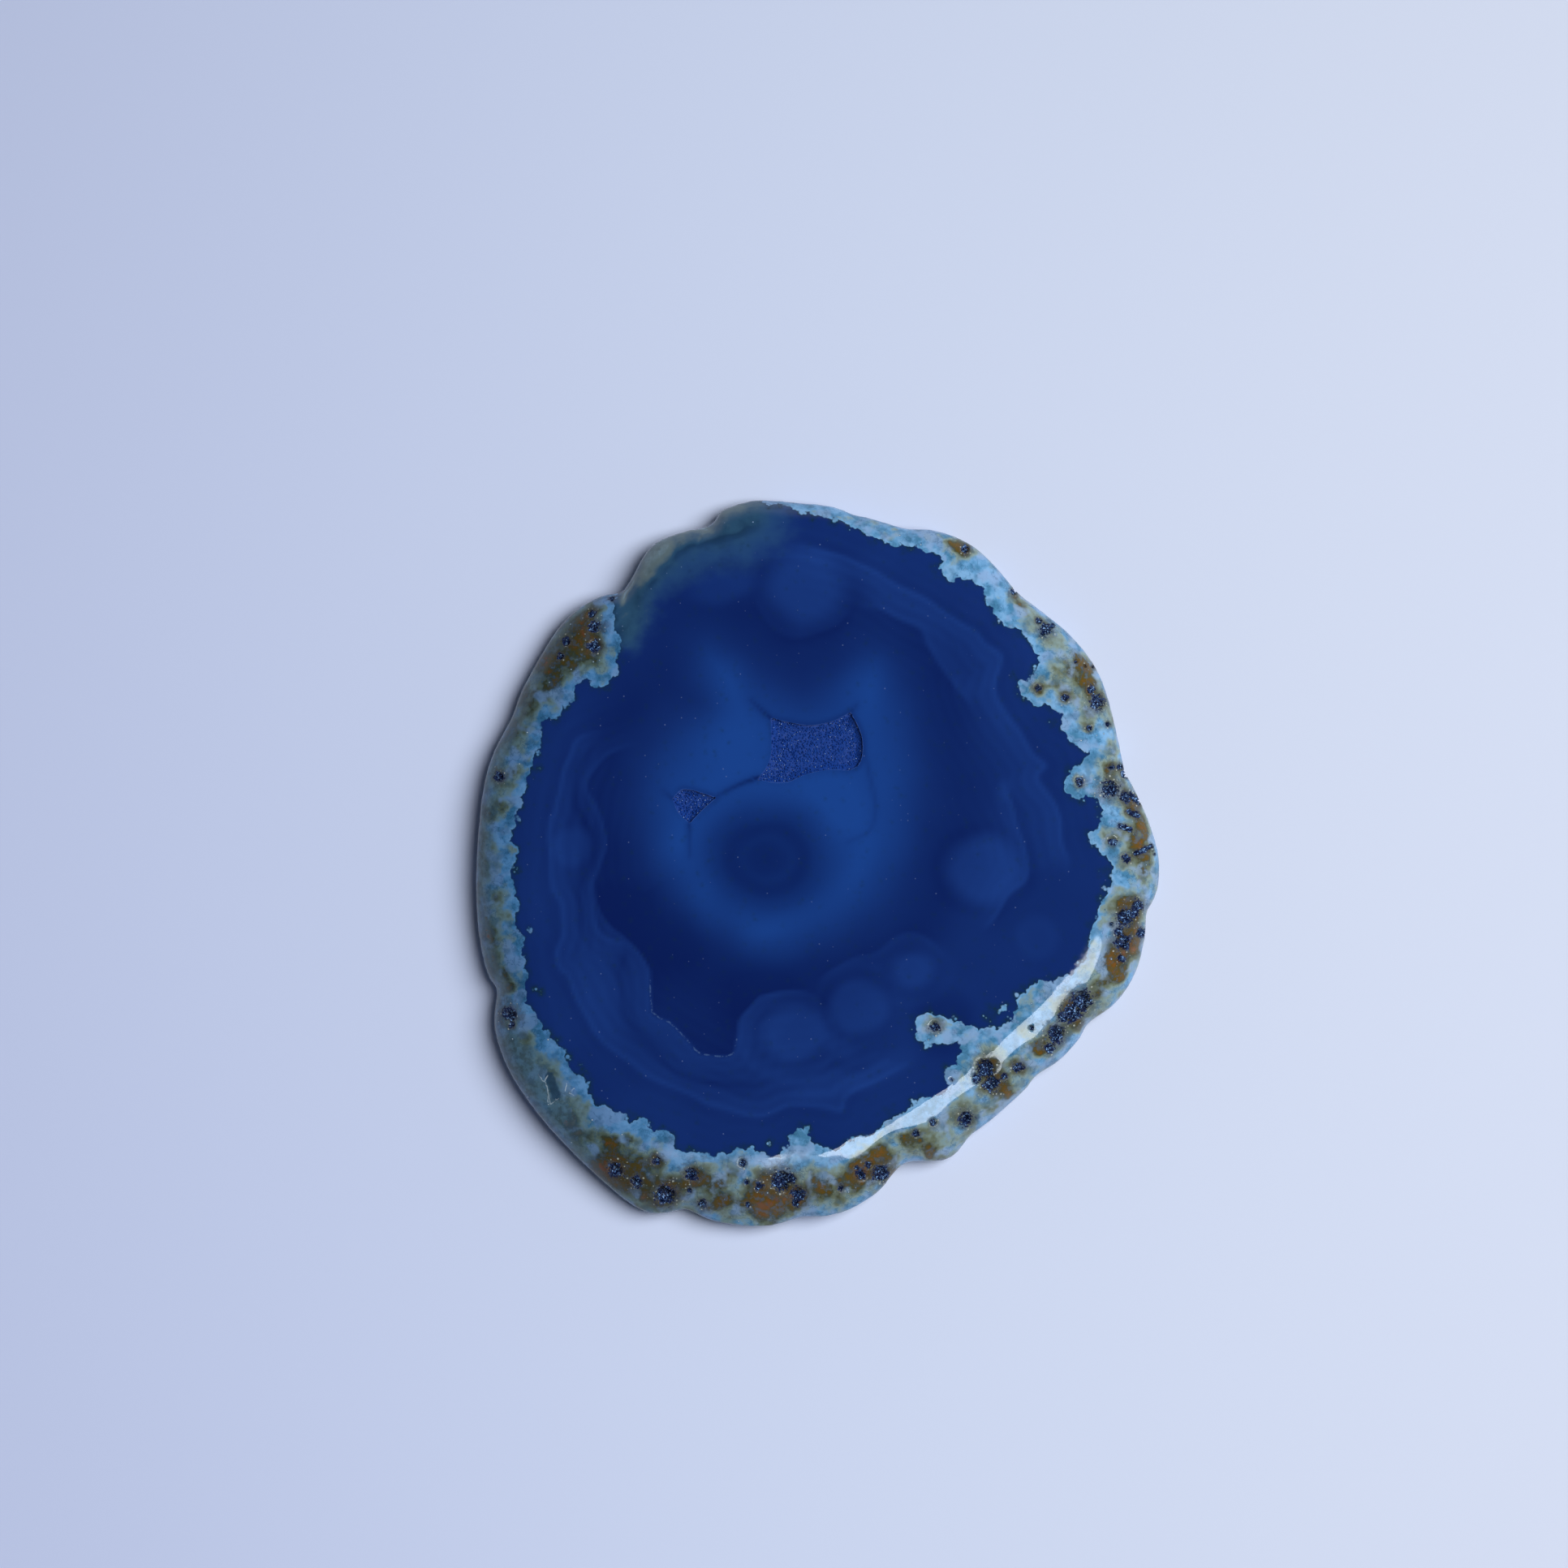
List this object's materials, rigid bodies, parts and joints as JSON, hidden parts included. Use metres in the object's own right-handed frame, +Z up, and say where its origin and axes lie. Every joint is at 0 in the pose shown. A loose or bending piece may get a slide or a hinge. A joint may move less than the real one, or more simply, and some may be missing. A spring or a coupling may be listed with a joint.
{
  "type": "agate slice",
  "caption": "Flat polished slice of blue dyed agate with a lobed, pitted rim and crystal-lined hollows in its face.",
  "frame": {"origin": "middle of the slice's footprint, on the surface that it lies on", "axes": "+Z up through the thickness, out of the polished face that has the hollows; +Y along the slice's length, with the grey-green clear edge at +Y and -X"},
  "size_m": [0.0848, 0.09, 0.0065],
  "materials": {
    "dyed_agate": "polished dyed agate, banded navy and blue, with a mottled turquoise and ochre rind",
    "druzy_quartz": "fine sparkling quartz points, dyed blue"
  },
  "bodies": {
    "root": {"slice": "dyed_agate", "large_hollow_crystals": "druzy_quartz", "small_hollow_crystals": "druzy_quartz"}
  },
  "joints": []
}
